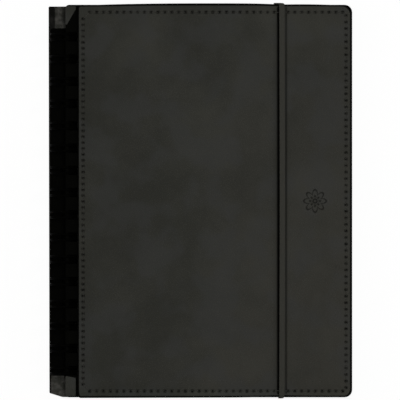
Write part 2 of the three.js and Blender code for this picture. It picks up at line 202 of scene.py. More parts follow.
def leatherFinish(name, look):
    finish = Finish(name)
    x = finish.along(0)
    y = finish.along(1)
    warp = finish.noise(look["warpSize"])
    grain = finish.cells(look["grainSize"], "DISTANCE_TO_EDGE").ramp(0.0, 0.34)
    pores = finish.noise(look["poreSize"], 2.0, 0.6)
    cloud = finish.noise(look["cloudSize"], 3.0, 0.55)
    # painted light: the leather is made paler towards the fore edge, as if lit more brightly there
    paintedLight = x.ramp(*look["paintedLightAlong"]) * 0.17
    tone = (grain * 0.35 + pores * 0.35 + cloud * 1.5 + paintedLight - 0.75).ramp(0.0, 1.0)
    colour = finish.mix(tone, look["deep"], look["raised"])
    # warmer and lighter towards the fore edge and the tail: partly a tint, partly painted light
    warmthAndLight = (x * 3.0 - y * 1.0 + cloud * 0.25).ramp(0.0, 0.75, 0.0, 0.4)
    colour = finish.mix(warmthAndLight, colour, look["warmAndLit"])
    cool = finish.noise(look["coolSize"]).ramp(0.44, 0.62, 0.0, 0.42)
    colour = finish.mix(cool, colour, look["cool"])
    # rubbed edges, and the flap lightened as painted light; then what is dark: painted shade in holes,
    # creases, rims and along the flap's outer edge
    wearAndLight = finish.attribute("edgeWearAndLight") * finish.noise(look["wornSize"], 3.0, 0.6).ramp(0.40, 0.72)
    colour = finish.mix(wearAndLight * 0.55, colour, look["wornAndLit"])
    # painted shade along the flap's outer edge, and on the head half a wider strip beside it
    head = x.ramp(*look["headShade"], 1.0, 0.0) * y.ramp(0.0, 1 * mm)
    paintedFlapShade = x.ramp(*look["spineEdgeShade"], 1.0, 0.0).most(head)
    dark = finish.attribute("darkness").most(paintedFlapShade * 0.85)
    colour = finish.mix(dark, colour, look["dark"])
    height = (grain * (0.55 + warp * 0.5) + pores * 0.35) * (1 - dark)
    roughness = 0.56 + cloud * 0.14 - grain * 0.07 + dark * 0.25 - wearAndLight * 0.08
    return finish.surface(look, colour, roughness, height)


# a black sheet kept far darker than black paper, as painted shade: under the wire it fills the spine's
# shaded hollow
sheetLook = {
    "dark": (0.0003, 0.0003, 0.0002),
    "light": (0.0011, 0.0011, 0.0007),
    "scuff": (0.0026, 0.0025, 0.0020),
    "fibre": 0.35 * mm,
    "cloud": 18 * mm,
    "scuffSize": 1.1 * mm,
    "depth": 0.02 * mm,
    "sheen": 0.01,
}


def sheetFinish(name, look):
    finish = Finish(name)
    fibre = finish.noise(look["fibre"], 4.0, 0.65)
    cloud = finish.noise(look["cloud"], 3.0, 0.6)
    scuff = finish.noise(look["scuffSize"], 3.0, 0.7, finish.stretched(1.0, 0.12, 1.0)).ramp(0.55, 0.8)
    colour = finish.mix((fibre * 0.5 + cloud * 0.5).ramp(0.3, 0.75), look["dark"], look["light"])
    colour = finish.mix(scuff * 0.25, colour, look["scuff"])
    roughness = 0.62 + cloud * 0.16 - scuff * 0.08
    return finish.surface(look, colour, roughness, fibre)


paperLook = {
    "page": (0.80, 0.755, 0.64),
    "shade": (0.70, 0.65, 0.53),
    "edge": (0.50, 0.46, 0.38),
    "rule": (0.33, 0.36, 0.38),
    "ruleSpacing": 6.5 * mm,
    "halfRule": 0.08 * mm,
    "softRule": 0.128 * mm,
    "marginLine": 13.5 * mm,
    "printFade": 0.2 * mm,
    "leafPitch": 0.1 * mm,
    "fibre": 0.5 * mm,
    "cloud": 30 * mm,
    "raggedSize": 0.9 * mm,
    "raggedFlat": 12.0,
    "depth": 0.02 * mm,
    "sheen": 0.25,
}

printLook = {
    "spineMargin": 17 * mm,
    "foreMargin": 8 * mm,
    "tailMargin": 10 * mm,
    "headMargin": {"lines": 20 * mm, "week": 14 * mm, "year": 14 * mm},
    "columns": {"lines": 6, "week": 7, "year": 6},
    "rows": {"lines": 31, "week": 5, "year": 31},
}


def pageBox(ruled, look):
    low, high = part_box("notes_pages")
    left, right = low.x + look["spineMargin"], high.x - look["foreMargin"]
    bottom, top = low.y + look["tailMargin"], high.y - look["headMargin"][ruled]
    column = (right - left) / look["columns"][ruled]
    return left, right, bottom, top, column, (top - bottom) / look["rows"][ruled]


def paperFinish(name, look, ruled):
    finish = Finish(name)
    x = finish.along(0)
    y = finish.along(1)
    fibre = finish.noise(look["fibre"], 4.0, 0.65)
    cloud = finish.noise(look["cloud"], 3.0)
    colour = finish.mix((fibre * 0.4 + cloud * 0.5).ramp(0.2, 0.8), look["shade"], look["page"])
    normal = finish.node("ShaderNodeNewGeometry", None, "Normal")
    up = finish.node("ShaderNodeSeparateXYZ", {0: normal}, 2).fold().ramp(0.6, 0.9)
    left, right, bottom, top, column, row = pageBox(ruled, printLook)
    inside = (x - left).least(right - x).ramp(0.0, look["printFade"])
    inside = inside * (y - bottom).least(top - y).ramp(0.0, look["printFade"])
    if ruled == "lines":
        step = (y - top).pingPong(look["ruleSpacing"])
        margin = (x - left - look["marginLine"]).fold()
        near = step.least(look["ruleSpacing"] - step).least(margin)
    else:
        across = (x - left).pingPong(column)
        down = (top - y).pingPong(row)
        near = across.least(column - across).least(down.least(row - down))
    marks = near.ramp(look["halfRule"], look["softRule"], 1.0, 0.0)
    colour = finish.mix(marks * inside * up * 0.75, colour, look["rule"])
    leaves = (finish.along(2) * (fullTurn / look["leafPitch"])).sine() * (1 - up)
    flat = finish.stretched(1.0, 1.0, look["raggedFlat"])
    ragged = finish.noise(look["raggedSize"], 3.0, 0.7, flat).ramp(0.4, 0.7)
    colour = finish.mix((1 - up) * ragged * 0.35, colour, look["edge"])
    return finish.surface(look, colour, 0.82 + fibre * 0.1, fibre * 0.4 + leaves * 0.3)


boardLook = {
    "pale": (0.20, 0.185, 0.165),
    "dark": (0.10, 0.093, 0.084),
    "fleck": (0.045, 0.042, 0.04),
    "fibre": 0.8 * mm,
    "fleckSize": 0.45 * mm,
    "depth": 0.05 * mm,
    "sheen": 0.2,
}


def boardFinish(name, look):
    finish = Finish(name)
    fibre = finish.noise(look["fibre"], 5.0, 0.7, finish.stretched(1.0, 0.5, 6.0))
    fleck = finish.noise(look["fleckSize"], 2.0, 0.8).ramp(0.66, 0.74)
    colour = finish.mix(fibre.ramp(0.3, 0.7), look["dark"], look["pale"])
    colour = finish.mix(fleck, colour, look["fleck"])
    return finish.surface(look, colour, 0.86 + fibre * 0.1, fibre)


foamLook = {
    "wall": (0.29, 0.29, 0.275),
    "pore": (0.11, 0.11, 0.10),
    "dusty": (0.23, 0.22, 0.19),
    "poreSize": 0.42 * mm,
    "cloud": 9 * mm,
    "depth": 0.12 * mm,
    "sheen": 0.15,
}


def foamFinish(name, look):
    finish = Finish(name)
    pore = finish.cells(look["poreSize"]).ramp(0.1, 0.55)
    cloud = finish.noise(look["cloud"], 3.0)
    colour = finish.mix(pore, look["pore"], look["wall"])
    colour = finish.mix(cloud.ramp(0.4, 0.8) * 0.3, colour, look["dusty"])
    return finish.surface(look, colour, 0.9 + cloud * 0.08, pore)


coatLook = {
    "coat": (0.0003, 0.0003, 0.0002),
    "rubbed": (0.0011, 0.0011, 0.0009),
    "peel": 0.5 * mm,
    "cloud": 7 * mm,
    "rubSize": 1.6 * mm,
    "depth": 0.012 * mm,
    "sheen": 0.006,
}


def coatFinish(name, look):
    finish = Finish(name)
    peel = finish.noise(look["peel"])
    cloud = finish.noise(look["cloud"], 3.0, 0.6)
    rubbed = finish.noise(look["rubSize"], 4.0, 0.7).ramp(0.62, 0.78) * cloud.ramp(0.4, 0.7)
    colour = finish.mix(rubbed * 0.6, look["coat"], look["rubbed"])
    return finish.surface(look, colour, 0.5 + peel * 0.1 - rubbed * 0.1, peel)


elasticLook = {
    "rib": (0.0480, 0.0472, 0.0400),
    "gap": (0.0140, 0.0138, 0.0114),
    "dusty": (0.024, 0.0215, 0.017),
    "ribs": 9,
    "sewnWidth": 3.7 * mm,
    "stitchLength": 0.62 * mm,
    "fuzz": 0.2 * mm,
    "cloud": 16 * mm,
    "depth": 0.05 * mm,
    "sheen": 0.06,
}


def elasticFinish(name, look, sewnIn):
    # the weave runs with the strip, or on its sewn-in ends with the spine
    finish = Finish(name)
    if sewnIn:
        across = finish.along(0) * (1 / look["sewnWidth"])
        course = finish.along(1) * (fullTurn / look["stitchLength"])
    else:
        across = finish.attribute("bandAcross")
        shift = (across * (math.pi * look["ribs"])).sine().ramp(-0.1, 0.1) * math.pi
        course = finish.attribute("bandAlong") * (fullTurn / look["stitchLength"]) + shift
    rib = (across * (fullTurn * look["ribs"])).wave()
    weave = rib * (0.65 + course.wave() * 0.35)
    fuzz = finish.noise(look["fuzz"], 3.0, 0.7)
    colour = finish.mix((weave * 0.75 + fuzz * 0.4 - 0.1).ramp(0.0, 1.0), look["gap"], look["rib"])
    height = weave
    if not sewnIn:
        colour = finish.mix(finish.noise(look["cloud"]).ramp(0.5, 0.8) * 0.25, colour, look["dusty"])
        height = weave + fuzz * 0.3
    return finish.surface(look, colour, 0.74 + fuzz * 0.14, height)


threadLook = {
    "light": (0.0520, 0.0505, 0.0440),
    "dark": (0.0150, 0.0148, 0.0126),
    "twist": 0.42 * mm,
    "fuzz": 0.12 * mm,
    "depth": 0.05 * mm,
    "sheen": 0.08,
}


def threadFinish(name, look):
    finish = Finish(name)
    ply = finish.along(0) + finish.along(1) + finish.along(2)
    strand = (ply * (fullTurn / look["twist"])).wave()
    fuzz = finish.noise(look["fuzz"], 3.0, 0.7)
    colour = finish.mix((strand * 0.7 + fuzz * 0.4).ramp(0.1, 0.9), look["dark"], look["light"])
    return finish.surface(look, colour, 0.66 + fuzz * 0.2, strand * 0.7 + fuzz * 0.3)


leather = leatherFinish("grained leatherette", leatherLook)
blackSheetAndShade = sheetFinish("black lining sheet", sheetLook)
board = boardFinish("grey board", boardLook)
foam = foamFinish("grey padding", foamLook)
wireCoat = coatFinish("black nylon coat", coatLook)
elasticWeave = elasticFinish("woven elastic", elasticLook, False)
anchorWeave = elasticFinish("woven elastic, sewn-in end", elasticLook, True)
thread = threadFinish("twisted black thread", threadLook)
ruledPaper = paperFinish("cream paper, ruled", paperLook, "lines")
weekPaper = paperFinish("cream paper, week boxes", paperLook, "week")
yearPaper = paperFinish("cream paper, year grid", paperLook, "year")
print("diary: finishes ready")


# Meshes

def addObject(name, data):
    made = bpy.data.objects.new(name, data)
    scene.collection.objects.link(made)
    return made


def addPiece(name, points, faces, material, attributes=None):
    mesh = bpy.data.meshes.new(name)
    mesh.from_pydata([tuple(point) for point in points], [], faces)
    mesh.materials.append(material)
    for label, values in (attributes or {}).items():
        layer = mesh.attributes.new(label, "FLOAT", "POINT")
        layer.data.foreach_set("value", np.asarray(values, np.float32))
    mesh.update()
    mesh.shade_smooth()
    return addObject(name, mesh)


def reshape(piece, change):
    # runs one change on a piece's mesh
    shape = bmesh.new()
    shape.from_mesh(piece.data)
    change(shape)
    shape.to_mesh(piece.data)
    shape.free()
    piece.data.update()


def faceOut(shape):
    bmesh.ops.recalc_face_normals(shape, faces=shape.faces)


def dress(piece, slot, body, *nodes):
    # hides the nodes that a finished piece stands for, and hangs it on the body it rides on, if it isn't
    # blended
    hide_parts(*nodes)
    if body:
        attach(piece, body)
    print("diary: " + piece.name + ", " + str(len(piece.data.polygons)) + " faces")


def smooth(values, low, high):
    t = np.clip((values - low) / (high - low), 0.0, 1.0)
    return t * t * (3 - 2 * t)


def bell(values, width, power=2):
    return np.exp(-np.abs(values / width) ** power)


def spaced(low, high, step):
    count = max(1, round((high - low) / step))
    return list(np.linspace(low, high, count + 1))


def spacedBetween(breaks, step):
    # evenly spaced stops that keep every break
    stops = []
    for low, high in zip(breaks[:-1], breaks[1:]):
        stops += spaced(low, high, step)[:-1]
    return stops + [breaks[-1]]


def refine(stops, parts):
    fine = []
    for low, high in zip(stops[:-1], stops[1:]):
        fine += [low + (high - low) * i / parts for i in range(parts)]
    return fine + [stops[-1]]


def ringFaces(rings, count):
    # quads between rings of points that follow each other, and the cap that closes the first
    faces = []
    for ring in range(rings - 1):
        a = ring * count
        for j in range(count):
            k = (j + 1) % count
            faces.append((a + j, a + k, a + count + k, a + count + j))
    faces.append(tuple(reversed(range(count))))
    return faces


# Covers: their settings, then the line of stitches round a face and its needle holes

coverLook = {
    "edgeRadius": 0.75 * mm,
    "hingeCorner": 1.5 * mm,
    "foreCorner": 3.9 * mm,
    "headForeCorner": 4.8 * mm,
    "cornerSteps": 48,
    "wall": 0.7 * mm,
    "wallTop": 0.2 * mm,
    "tailBow": 0.98 * mm,
    "tailSlope": 0.0028,
    "headBow": 1.62 * mm,
    "bowMiddle": 8 * mm,
    "bowHalf": 85 * mm,
    "bowPower": 2.6,
    "bowFade": 3.2 * mm,
    "footBow": 0.8,
    "pinch": (0.42 * mm, 0.88 * mm),
    "pinchHalf": 11 * mm,
    "pinchPower": 1.5,
    "rimShadeWidth": 0.68 * mm,
    "rimPerBow": 0.38,
    "rimFade": 0.32 * mm,
    "rubWidth": 0.6 * mm,
    "grooveDepth": 0.16 * mm,
    "grooveWidth": 0.85 * mm,
    "padStart": 0.2 * mm,
    "padSlope": 5.5 * mm,
    "padPower": 1.4,
    "waviness": 0.05 * mm,
    "waveFade": (1 * mm, 14 * mm),
    "swell": ((61, 1.3), (47, 0.4)),
    "slantSwell": (0.6, 113, 71, 2.1),
    "sharpFrom": 50,
    "holeDepth": 0.55 * mm,
    "holeWide": 0.86 * mm,
    "holeTall": 0.68 * mm,
    "holePower": 3.2,
    "holeReach": 2.2 * mm,
    "holeShade": 1.25,
    "faintest": 0.62,
    "seed": 5,
    "seamCornerFore": 1.9 * mm,
    "seamCornerHinge": 3.8 * mm,
    "seamFromHinge": 2.8 * mm,
    "seamFromFore": 2.75 * mm,
    "seamFromHead": 3.45 * mm,
    "seamFromTail": 2.85 * mm,
    "pitchAtHinge": 3.37 * mm,
    "pitchAtFore": 3.73 * mm,
    "pitchAtEnds": 3.86 * mm,
    "notchReach": 1.2 * mm,
    "notchHalf": 2.5 * mm,
    "notchPower": 8,
    "notchRise": 1.35 * mm,
    "fineStep": 0.36 * mm,
    "finePerCell": 6,
    "stripWidth": 10 * mm,
    "insets": [0.0, 0.07, 0.17, 0.3, 0.46, 0.62, 0.78, 1.05, 1.4, 1.8, 2.15, 2.45, 2.7, 2.95, 3.2, 3.45,
               3.7, 3.95, 4.2, 4.5, 4.9, 5.5, 6.3, 7.3, 8.6],
}


def seamBox(cover, look):
    return {
        "left": cover["left"] + look["seamFromHinge"],
        "right": cover["right"] - look["seamFromFore"],
        "low": cover["low"] + look["seamFromTail"],
        "high": cover["high"] - look["seamFromHead"],
        "fore": look["seamCornerFore"],
        "hinge": look["seamCornerHinge"],
    }


def seamDistance(x, y, seam):
    # below zero inside the line of stitches
    middleX = (seam["right"] + seam["left"]) / 2
    corner = np.where(x > middleX, seam["fore"], seam["hinge"])
    qx = np.abs(x - middleX) - (seam["right"] - seam["left"]) / 2 + corner
    qy = np.abs(y - (seam["high"] + seam["low"]) / 2) - (seam["high"] - seam["low"]) / 2 + corner
    outside = np.hypot(np.maximum(qx, 0), np.maximum(qy, 0))
    return outside + np.minimum(np.maximum(qx, qy), 0) - corner


def seamHoles(seam, look):
    # the needle holes in order, counter-clockwise from the tail end of the fore side
    left, right, low, high = seam["left"], seam["right"], seam["low"], seam["high"]
    fore, hinge = seam["fore"], seam["hinge"]
    sides = [
        ((right, low + fore), (right, high - fore), look["pitchAtFore"]),
        ((right - fore, high), (left + hinge, high), look["pitchAtEnds"]),
        ((left, high - hinge), (left, low + hinge), look["pitchAtHinge"]),
        ((left + hinge, low), (right - fore, low), look["pitchAtEnds"]),
    ]
    holes = []
    for start, end, pitch in sides:
        start = np.array(start)
        way = np.array(end) - start
        count = round(np.linalg.norm(way) / pitch)
        holes += [start + way * i / count for i in range(count + 1)]
    return np.array(holes)


def holeMask(x, y, holes, look):
    # how deep each point lies in a needle hole, which also sets the hole's painted shade; some holes are
    # fainter than others
    mask = np.zeros_like(x)
    reach = look["holeReach"]
    strengths = np.random.default_rng(look["seed"]).uniform(look["faintest"], 1.0, len(holes))
    for (hx, hy), strength in zip(holes, strengths):
        near = np.where((np.abs(x - hx) < reach) & (np.abs(y - hy) < reach))[0]
        dx = np.abs(x[near] - hx) / look["holeWide"]
        dy = np.abs(y[near] - hy) / look["holeTall"]
        depth = strength * np.exp(-(dx ** look["holePower"] + dy ** look["holePower"]))
        mask[near] = np.maximum(mask[near], depth)
    return mask


# A padded cover's skin: fine rings of points along the edge and the seam, a coarser field inside

def cornerPath(inset, radius, reach, steps):
    # through one corner, in distances behind it and inside it, evenly spaced
    bend = max(radius - inset, 0.0)
    straight = max(reach - inset - bend, 0.0)
    arc = bend * math.pi / 2
    total = 2 * straight + arc
    path = []
    for i in range(steps + 1):
        s = total * i / steps
        if s <= straight:
            path.append((reach - s, inset))
        elif s < straight + arc:
            angle = (s - straight) / bend
            path.append((inset + bend * (1 - math.sin(angle)), inset + bend * (1 - math.cos(angle))))
        else:
            path.append((inset, reach - (total - s)))
    return path


def ringAt(cover, inset, xs, ys, look):
    # points of one ring, counter-clockwise from the tail side, and where each corner's points begin
    steps = look["cornerSteps"]
    left, right, low, high = cover["left"], cover["right"], cover["low"], cover["high"]
    fineXs = refine(xs, look["finePerCell"])
    fineYs = refine(ys, look["finePerCell"])
    sides = [
        ([(x, low + inset) for x in fineXs[1:-1]], (right, low), (1, 0), (0, 1), look["foreCorner"]),
        ([(right - inset, y) for y in fineYs[1:-1]], (right, high), (0, 1), (-1, 0), look["headForeCorner"]),
        ([(x, high - inset) for x in fineXs[-2:0:-1]], (left, high), (-1, 0), (0, -1), look["hingeCorner"]),
        ([(left + inset, y) for y in fineYs[-2:0:-1]], (left, low), (0, -1), (1, 0), look["hingeCorner"]),
    ]
    points = []
    corners = []
    for side, corner, travel, inward, radius in sides:
        points += side
        corners.append((len(points), len(points) + steps))
        for behind, within in cornerPath(inset, radius, look["stripWidth"], steps):
            points.append((
                corner[0] - travel[0] * behind + inward[0] * within,
                corner[1] - travel[1] * behind + inward[1] * within,
            ))
    return points, corners


def zipLoops(fine, coarse, spans, faces, turned=False):
    # triangles between a fine loop and a coarse one; spans give each coarse point's own fine points
    def face(a, b, c):
        faces.append((a, c, b) if turned else (a, b, c))

    count = len(fine)
    for i, point in enumerate(coarse):
        first, last = spans[i]
        following = coarse[(i + 1) % len(coarse)]
        end = spans[(i + 1) % len(coarse)][0]
        if end <= last:
            end += count
        middle = (last + end) // 2
        for j in range(first, middle):
            face(point, fine[j % count], fine[(j + 1) % count])
        face(point, fine[middle % count], following)
        for j in range(middle, end):
            face(following, fine[j % count], fine[(j + 1) % count])


def boundaryOf(grid):
    # a grid's outer points, counter-clockwise from its lowest corner
    loop = list(grid[0, :-1]) + list(grid[:-1, -1]) + list(grid[-1, :0:-1]) + list(grid[:0:-1, 0])
    return [int(index) for index in loop]


def gridFaces(grid, faces, gap=None):
    rows, columns = grid.shape
    for j in range(rows - 1):
        for i in range(columns - 1):
            if gap and gap[0] <= i < gap[1] and gap[2] <= j < gap[3]:
                continue
            corners = (grid[j, i], grid[j, i + 1], grid[j + 1, i + 1], grid[j + 1, i])
            faces.append(tuple(int(index) for index in corners))


def numbered(xs, ys, start):
    return np.arange(len(xs) * len(ys)).reshape(len(ys), len(xs)) + start


def coverSkin(cover, look):
    # points and faces; each point is x, y, its distance from the edge, and its level
    reach = look["stripWidth"]
    parts = look["finePerCell"]
    patch = cover["patch"]
    cell = look["fineStep"] * parts
    xs = spacedBetween(sorted({cover["left"] + reach, cover["right"] - reach, *cover["breaksX"]}), cell)
    ys = spacedBetween(sorted({cover["low"] + reach, cover["high"] - reach, *cover["breaksY"]}), cell)

    places = []
    levels = [(look["wall"], "ceiling"), (look["wall"], "foot"), (0.0, "foot"), (0.0, "wall")]
    levels += [(inset * mm, "face") for inset in look["insets"]]
    for inset, level in levels:
        points, corners = ringAt(cover, inset, xs, ys, look)
        places += [(x, y, inset, level) for x, y in points]
    count = len(points)
    faces = ringFaces(len(levels), count)

    # the field inside the strip
    grid = numbered(xs, ys, len(places))
    for y in ys:
        for x in xs:
            inset = min(x - cover["left"], cover["right"] - x, y - cover["low"], cover["high"] - y)
            places.append((x, y, inset, "face"))
    gap = None
    if patch:
        gap = [int(np.argmin(np.abs(np.array(xs) - patch[side]))) for side in ("left", "right")]
        gap += [int(np.argmin(np.abs(np.array(ys) - patch[side]))) for side in ("low", "high")]
    gridFaces(grid, faces, gap)

    # the last ring meets the field
    fine = list(range((len(levels) - 1) * count, len(levels) * count))
    spans = []
    for side, cells in enumerate([len(xs) - 1, len(ys) - 1, len(xs) - 1, len(ys) - 1]):
        first, last = corners[side - 1]
        if side == 0:
            first -= count
            last -= count
        spans.append((first, last))
        spans += [(last + parts * i, last + parts * i) for i in range(1, cells)]
    zipLoops(fine, boundaryOf(grid), spans, faces)
    if patch:
        refinePatch(places, faces, grid, gap, xs, ys, patch, cover)
    return places, faces


def refinePatch(places, faces, grid, gap, xs, ys, patch, cover):
    # a fine field inside a gap of the coarse one
    parts = patch["parts"]
    left, right, low, high = gap
    columns = refine(xs[left:right + 1], parts)
    rows = refine(ys[low:high + 1], parts)
    shrinkX = 1 - 2 * patch["seamWidth"] / (columns[-1] - columns[0])
    shrinkY = 1 - 2 * patch["seamWidth"] / (rows[-1] - rows[0])
    middleX = (columns[0] + columns[-1]) / 2
    middleY = (rows[0] + rows[-1]) / 2
    fineGrid = numbered(columns, rows, len(places))
    for y in rows:
        for x in columns:
            px = middleX + (x - middleX) * shrinkX
            py = middleY + (y - middleY) * shrinkY
            places.append((px, py, min(px - cover["left"], cover["right"] - px), "face"))
    gridFaces(fineGrid, faces)
    coarse = boundaryOf(grid[low:high + 1, left:right + 1])
    spans = [(parts * i, parts * i) for i in range(len(coarse))]
    zipLoops(boundaryOf(fineGrid), coarse, spans, faces, turned=True)


rosetteLook = {
    "centreX": 65.2 * mm,
    "centreY": 0.0,
    "halfPatch": 7.6 * mm,
    "petals": 8,
    "reach": 6.4 * mm,
    "eye": 1.1 * mm,
    "innermost": 0.56,
    "spokes": (2.0 * mm, 3.328 * mm),
    "line": 0.46 * mm,
    "depth": 0.24 * mm,
    "dark": 0.75,
}


def rosettePress(x, y, look):
    # a plain flower pressed into the leatherette: petal outlines, spokes and an eye
    dx = x - look["centreX"]
    dy = y - look["centreY"]
    radius = np.hypot(dx, dy)
    half = np.arctan2(dy, dx) * look["petals"] / 2
    petal = look["reach"] * (look["innermost"] + (1 - look["innermost"]) * np.abs(np.cos(half)))
    outline = np.abs(radius - petal)
    eye = np.abs(radius - look["eye"])
    spoke = np.abs(np.sin(half)) * radius / (look["petals"] / 2)
    spoke = np.where((radius > look["spokes"][0]) & (radius < look["spokes"][1]), spoke, 1.0)
    distance = np.minimum(np.minimum(outline, eye), spoke)
    return bell(distance, look["line"]) * (radius < look["reach"] + 2 * mm)


# What the band does to the leather: a shallow dent, a crease at each side, and the band's shadow painted
# into the creases and beside it

dentLook = {
    "breaks": (-3.4, -2.85, -2.4, -2.0, -1.6, -1.2, 1.4, 1.85, 2.25, 2.7, 3.3),
    "start": (0.3 * mm, 2.0 * mm),
    "depth": 0.16 * mm,
    "half": 2.3 * mm,
    "creaseDepth": 0.6 * mm,
    "crease": (-1.95 * mm, 0.76 * mm),
    "farCrease": (2.25 * mm, 0.5 * mm),
    "farShare": 0.3,
    "creaseShadow": 2.3,
    "shade": (-3.4 * mm, 1.7 * mm),
    "shadeDark": 0.14,
}


def bandDent(x, inset, look):
    # its depth, its crease and its painted shadow at each point
    fromBand = x - bandCentre
    onFace = smooth(inset, *look["start"])
    dent = look["depth"] * bell(fromBand, look["half"], 4) * onFace
    crease = bell(fromBand - look["crease"][0], look["crease"][1])
    crease = crease + look["farShare"] * bell(fromBand - look["farCrease"][0], look["farCrease"][1])
    crease = crease * onFace
    shade = look["shadeDark"] * bell(fromBand - look["shade"][0], look["shade"][1]) * onFace
    return dent, look["creaseDepth"] * crease, np.minimum(look["creaseShadow"] * crease + shade, 1.0)


def edgeBows(x, look):
    # how far the head and the tail edge bulge out past a straight line, drawn in under the band
    head = look["headBow"] * (1 - np.abs((x - look["bowMiddle"]) / look["bowHalf"]) ** look["bowPower"])
    tail = look["tailBow"] - look["tailSlope"] * x
    pinch = bell(x - bandCentre, look["pinchHalf"], look["pinchPower"])
    return head - look["pinch"][0] * pinch, tail - look["pinch"][1] * pinch


def makeCover(name, cover, look):
    # gives the skin's points their heights and tones, and makes the piece
    places, faces = coverSkin(cover, look)
    x, y, inset = (np.array([place[i] for place in places]) for i in range(3))
    level = np.array([place[3] for place in places])
    seam = seamBox(cover, look)
    holes = seamHoles(seam, look)
    mask = holeMask(x, y, holes, look) * (level == "face")
    inward = -seamDistance(x, y, seam)
    edge = look["edgeRadius"]
    turn = np.clip(edge - inset, 0, edge)
    roundOver = np.sqrt(np.maximum(edge ** 2 - turn ** 2, 0)) - edge
    groove = look["grooveDepth"] * bell(inward, look["grooveWidth"])
    rise = smooth(inward, look["padStart"], look["padSlope"])
    pad = cover["pad"] * (1 - (1 - rise) ** look["padPower"])
    (perX, fromX), (perY, fromY) = look["swell"]
    strength, slantX, slantY, start = look["slantSwell"]
    sway = np.sin(x * perX + fromX) * np.sin(y * perY + fromY)
    sway = sway + strength * np.sin(x * slantX - y * slantY + start)
    wave = look["waviness"] * sway * smooth(inward, *look["waveFade"]) * cover["wavy"]
    face = cover["rim"] + roundOver - groove + pad + wave - look["holeDepth"] * mask
    # needle holes painted dark as shade
    dark = np.minimum(look["holeShade"] * mask, 1.0)

    # the two ends bulge, a little less at their foot
    headBow, tailBow = edgeBows(x, look)
    share = cover["bow"] * np.where(level == "foot", look["footBow"], 1.0)
    bowed = share * headBow * smooth(y, cover["high"] - look["bowFade"], cover["high"])
    dropped = share * tailBow * smooth(-y, -cover["low"] - look["bowFade"], -cover["low"])
    y = y + bowed - dropped
    # painted shade along the skin's outer edge, wider where the ends bulge
    rim = look["rimShadeWidth"] + look["rimPerBow"] * (bowed + dropped) - inset
    dark = np.maximum(dark, smooth(rim, 0.0, look["rimFade"]))

    foot = np.full_like(x, cover["foot"])
    if cover["turned"]:
        # notches for the band's two ends
        nearEnd = np.abs(y) > cover["high"] - look["notchReach"]
        notch = bell(x - bandCentre, look["notchHalf"], look["notchPower"])
        foot = foot + look["notchRise"] * notch * nearEnd
    else:
        dent, crease, bandShadow = bandDent(x, inset, dentLook)
        press = rosettePress(x, y, rosetteLook)
        face = face - dent - crease - rosetteLook["depth"] * press
        dark = np.maximum(dark, np.maximum(bandShadow, rosetteLook["dark"] * press))
    z = np.where(level == "wall", cover["rim"] - edge - look["wallTop"], face)
    z = np.where(level == "foot", foot, z)
    z = np.where(level == "ceiling", cover["ceiling"], z)
    if cover["turned"]:
        z = cover["turned"] - z
        faces = [tuple(reversed(face)) for face in faces]
    wearAndLight = bell(inset, look["rubWidth"]) * (level == "face")
    piece = addPiece(name, np.stack([x, y, z], 1), faces, leather, {"darkness": dark, "edgeWearAndLight": wearAndLight})
    reshape(piece, weld)
    piece.data.set_sharp_from_angle(angle=math.radians(look["sharpFrom"]))
    return piece, holes


def weld(shape):
    nearest = 0.001 * mm
    bmesh.ops.remove_doubles(shape, verts=shape.verts, dist=nearest)
    bmesh.ops.dissolve_degenerate(shape, edges=shape.edges, dist=nearest)


boardLow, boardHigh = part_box("front_cover_board")
backLow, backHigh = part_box("back_cover_skin")
bandLow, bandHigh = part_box("elastic_front_run")
bandCentre = (bandLow.x + bandHigh.x) / 2
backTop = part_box("back_cover_board")[1].z
skinAround = 0.9 * mm  # the skin's wall and the room between it and the board
patch = {
    "left": rosetteLook["centreX"] - rosetteLook["halfPatch"],
    "right": rosetteLook["centreX"] + rosetteLook["halfPatch"],
    "low": -rosetteLook["halfPatch"],
    "high": rosetteLook["halfPatch"],
    "parts": 9,
    "seamWidth": 0.5 * mm,
}
bandBreaks = [bandCentre + offset * mm for offset in dentLook["breaks"]]
frontCover = {
    "left": boardLow.x - skinAround,
    "right": boardHigh.x + skinAround,
    "low": boardLow.y - skinAround,
    "high": boardHigh.y + skinAround,
    "breaksX": bandBreaks + [patch["left"], patch["right"]],
    "breaksY": [patch["low"], patch["high"]],
    "patch": patch,
    "rim": 18.0 * mm,
    "pad": 0.5 * mm,
    "wavy": 1.0,
    "bow": 1.0,
    "foot": boardLow.z,
    "ceiling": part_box("front_cover_foam")[1].z,
    "turned": 0.0,
}
# The back cover's skin has the same outline and seam, but is turned over and flat to lie on

backCover = dict(
    frontCover, breaksX=[], breaksY=[], patch=None, rim=backTop, pad=0.0, wavy=0.0, bow=0.0, foot=0.0,
    ceiling=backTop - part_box("back_cover_foam")[0].z, turned=backTop,
)
frontSkin, frontHoles = makeCover("frontSkin", frontCover, coverLook)
backSkin, backHoles = makeCover("backSkin", backCover, coverLook)


# Flat leather parts: a rounded outline with a rounded edge

flapLook = {
    "right": -69.6 * mm,
    "thickness": 0.8 * mm,
    "tailCut": (7.4 * mm, 2.3 * mm),
    "cutCorner": 4 * mm,
    "tailPast": 0.35 * mm,
    "spinePast": 0.5 * mm,
    "corner": 0.8 * mm,
    "edge": 0.22 * mm,
    # painted light: the flap lies low, in the covers' shade, and is lightened to look as lit as the covers
    "wearAndLight": 2.5,
}

tabLook = {
    "left": -77.2 * mm,
    "right": -71.25 * mm,
    "headAtSpine": 99.3 * mm,
    "headAtPanel": 109.5 * mm,
    "tailAtSpine": -99.8 * mm,
    "tailAtPanel": -100.9 * mm,
    "thickness": 0.35 * mm,
    "corner": 0.5 * mm,
    "edge": 0.14 * mm,
    "wearAndLight": 0.0,
}


